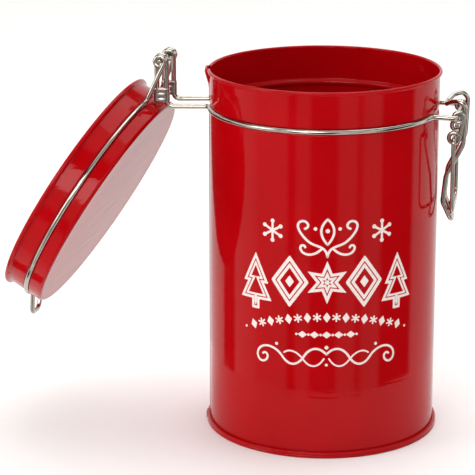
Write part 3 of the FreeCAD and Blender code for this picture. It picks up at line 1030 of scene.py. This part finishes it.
def arched_row(ink):
    """Small lozenges and crossed stars along a shallow arch, with a dot at each end."""
    for k in range(-8, 9):
        u = ARCH_PITCH * k
        v = ARCH_V - ARCH_BOW * u * u
        tilt = -2 * ARCH_BOW * u
        if k % 2 == 0:
            shape = lozenge(1.75, 5.0)
            c, s = math.cos(tilt), math.sin(tilt)
            ink.solid([(u + a * c - b * s, v + a * s + b * c) for a, b in shape], 0.3)
        else:
            for arm in range(3):
                a = tilt + math.radians(90 + 60 * arm)
                du, dv = 1.75 * math.cos(a), 1.75 * math.sin(a)
                ink.stroke([(u - du, v - dv), (u + du, v + dv)], 0.75)
    for side in (-1, 1):
        ink.dot(side * 40.2, SHORT_ROW_V, SMALL_DOT)


def short_row(ink):
    """Five lozenges on their sides with dots between."""
    for k in range(-2, 3):
        ink.solid(placed(lozenge(2.2, 3.4), SHORT_ROW_PITCH * k, SHORT_ROW_V), 0.35)
    for k in (-1.5, -0.5, 0.5, 1.5):
        ink.dot(SHORT_ROW_PITCH * k, SHORT_ROW_V, SMALL_DOT)
    for side in (-1, 1):
        ink.dot(side * 14.0, SHORT_ROW_V, SMALL_DOT)


def build_print():
    parts = {"print_snowflakes": snowflakes, "print_top_scroll": top_flourish,
             "print_ornaments": large_ornaments, "print_arched_row": arched_row,
             "print_short_row": short_row, "print_low_scroll": low_flourish}
    for name, draw in parts.items():
        ink = Print()
        draw(ink)
        ink.piece(name)


# ---- stage -----------------------------------------------
VIEW_AZIMUTH = math.radians(6.0)     # the camera and the studio stand this far round to the right
CAMERA_RANGE = 1.0401                # level distance from the tin's axis
CAMERA_HEIGHT = 0.3895
CAMERA_YAW = math.radians(2.252)     # turned left from the tin's axis
CAMERA_PITCH = math.radians(16.008)
CAMERA_LENS = 171.34
SENSOR_WIDTH = 36.0


def build_camera():
    data = bpy.data.cameras.new("camera")
    data.sensor_width = SENSOR_WIDTH
    data.lens = CAMERA_LENS
    data.clip_end = 20.0
    camera = bpy.data.objects.new("camera", data)
    across, along = CAMERA_RANGE * math.sin(VIEW_AZIMUTH), CAMERA_RANGE * math.cos(VIEW_AZIMUTH)
    camera.location = (across, -along, CAMERA_HEIGHT)
    camera.rotation_euler = (math.pi / 2 - CAMERA_PITCH, 0.0, VIEW_AZIMUTH + CAMERA_YAW)
    bpy.context.scene.collection.objects.link(camera)
    bpy.context.scene.camera = camera


def area_light(name, place, target, size, power):
    data = bpy.data.lights.new(name, "AREA")
    data.shape = "RECTANGLE"
    data.size, data.size_y = size
    data.energy = power
    light = bpy.data.objects.new(name, data)
    light.location = place
    direction = Vector(target) - Vector(place)
    light.rotation_euler = direction.to_track_quat("-Z", "Y").to_euler()
    bpy.context.scene.collection.objects.link(light)


# Degrees round from VIEW_AZIMUTH towards the right, and the ring's brightness there.
STUDIO_RING = [
    (-180, 0.95), (-168, 0.95), (-160, 1.05), (-150, 1.00), (-122, 0.95), (-118, 0.05), (-102, 0.05),
    (-98, 1.10), (-74, 1.05), (-68, 0.70), (-38, 0.80), (-34, 0.06), (-29, 0.06), (-26, 0.65),
    (-15, 0.70), (-11, 0.06), (12, 0.06), (17, 0.75), (31, 0.80), (36, 0.12), (42, 0.80), (57, 0.90),
    (62, 0.04), (98, 0.03), (103, 1.15), (115, 1.10), (136, 1.00), (160, 1.05), (168, 0.95), (180, 0.95)]
# Height of the direction, share of the ring that the upper boxes take over, and their brightness.
STUDIO_RISE = [
    (0.00, 0.0, 0.9), (0.10, 0.0, 0.9), (0.16, 1.0, 0.95), (0.46, 1.0, 1.0), (0.52, 1.0, 0.06),
    (0.74, 1.0, 0.05), (0.80, 1.0, 0.85), (1.00, 1.0, 0.85)]
WASH_LEVELS = (0.26, 1.0)    # light on matt surfaces from the front and from behind


def build_world():
    """White to the camera, a wash to matt surfaces, panels and dark gaps to the gloss."""
    world = bpy.data.worlds.new("studio")
    bpy.context.scene.world = world
    world.use_nodes = True
    nodes = Nodes(world.node_tree)
    turned = nodes.new("VectorRotate")
    turned.rotation_type = "Z_AXIS"
    nodes.fill(turned, Vector=nodes.new("TexCoord").outputs["Generated"], Angle=-VIEW_AZIMUTH)
    split = nodes.new("SeparateXYZ", Vector=turned.outputs["Vector"])
    x, y, z = (split.outputs[axis] for axis in "XYZ")
    angle = nodes.maths("ARCTAN2", x, nodes.maths("MULTIPLY", y, -1.0))
    place = nodes.maths("MULTIPLY_ADD", angle, 0.5 / math.pi, 0.5)
    rise = nodes.maths("MAXIMUM", z, 0.0)
    ring = nodes.ramp(place, [(a / 360 + 0.5, level) for a, level in STUDIO_RING])
    share = nodes.ramp(rise, [(height, part) for height, part, _ in STUDIO_RISE])
    upper = nodes.ramp(rise, [(height, level) for height, _, level in STUDIO_RISE])
    wash = nodes.remapped(y, *WASH_LEVELS, start=-0.75, end=-0.05)
    rays = nodes.new("LightPath").outputs
    level = nodes.mixed("FLOAT", share, ring, upper)
    level = nodes.mixed("FLOAT", rays["Is Diffuse Ray"], level, wash)
    level = nodes.mixed("FLOAT", rays["Is Camera Ray"], level, 1.0)
    nodes.fill(world.node_tree.nodes["Background"], Color=(1.0, 0.985, 0.965, 1.0), Strength=level)


FLOOR_NEAR = 0.14        # the floor shows in the gloss this far from the tin's middle
FLOOR_SIZE = 6.0
FLOOR_SIDES = 96


def floor_rim(radius):
    angles = [2 * math.pi * k / FLOOR_SIDES for k in range(FLOOR_SIDES)]
    return [(radius * math.cos(a), radius * math.sin(a), 0.0) for a in angles]


def floor_piece(name, inner, outer, material):
    """A flat ring, or a disc where inner is 0."""
    sides = [(k, (k + 1) % FLOOR_SIDES) for k in range(FLOOR_SIDES)]
    if inner:
        points = floor_rim(inner) + floor_rim(outer)
        faces = [(k, FLOOR_SIDES + k, FLOOR_SIDES + n, n) for k, n in sides]
    else:
        points = [(0.0, 0.0, 0.0)] + floor_rim(outer)
        faces = [(0, 1 + k, 1 + n) for k, n in sides]
    mesh = bpy.data.meshes.new(name)
    mesh.from_pydata(points, [], faces)
    mesh.materials.append(material)
    piece = bpy.data.objects.new(name, mesh)
    bpy.context.scene.collection.objects.link(piece)
    return piece


def build_stage():
    material = floor_material()
    floor_piece("floor", 0.0, FLOOR_NEAR, material)
    surround = floor_piece("floor_surround", FLOOR_NEAR, FLOOR_SIZE, material)
    surround.visible_glossy = False
    area_light("top_soft", place=(0.1, 0.35, 1.3), target=(0, 0, 0.05), size=(1.2, 1.2), power=7.5)
    area_light("front_soft", place=(-0.35, -1.9, 0.9), target=(0, 0, 0.1), size=(1.2, 0.8), power=14.0)
    area_light("left_soft", place=(-1.1, -0.7, 0.6), target=(0, 0, 0.1), size=(0.5, 1.0), power=4.0)


def build_object():
    fitted(build_wall(), "tin", "lacquered_tinplate", "body_wall")
    fitted(build_base(), "tin", "lacquered_tinplate", "base_end")
    fitted(build_neck_wire(), "tin", "bail_wire", "neck_wire")
    fitted(build_ferrule(-1), "tin", "ferrule", "hinge_ferrule_near")
    fitted(build_ferrule(1), "tin", "ferrule", "hinge_ferrule_far")
    fitted(build_rod(), "rod", "bail_wire", "hinge_rod")
    fitted(build_cap(), "lid", "lacquered_tinplate", "lid_cap")
    fitted(build_seal(), "lid", "seal", "lid_seal_ring")
    fitted(opened(build_cap_wire()), "lid", "bail_wire", "lid_wire")
    fitted(build_lever(), "lever", "bail_wire", "lever_handle")
    fitted(build_lever_eye(-1), "lever", "bail_wire", "lever_eye_near")
    fitted(build_lever_eye(1), "lever", "bail_wire", "lever_eye_far")
    fitted(build_link(), "link", "bail_wire", "link_loop")
    build_print()


bpy.context.scene.view_settings.view_transform = "Standard"
build_camera()
build_world()
build_stage()
build_object()
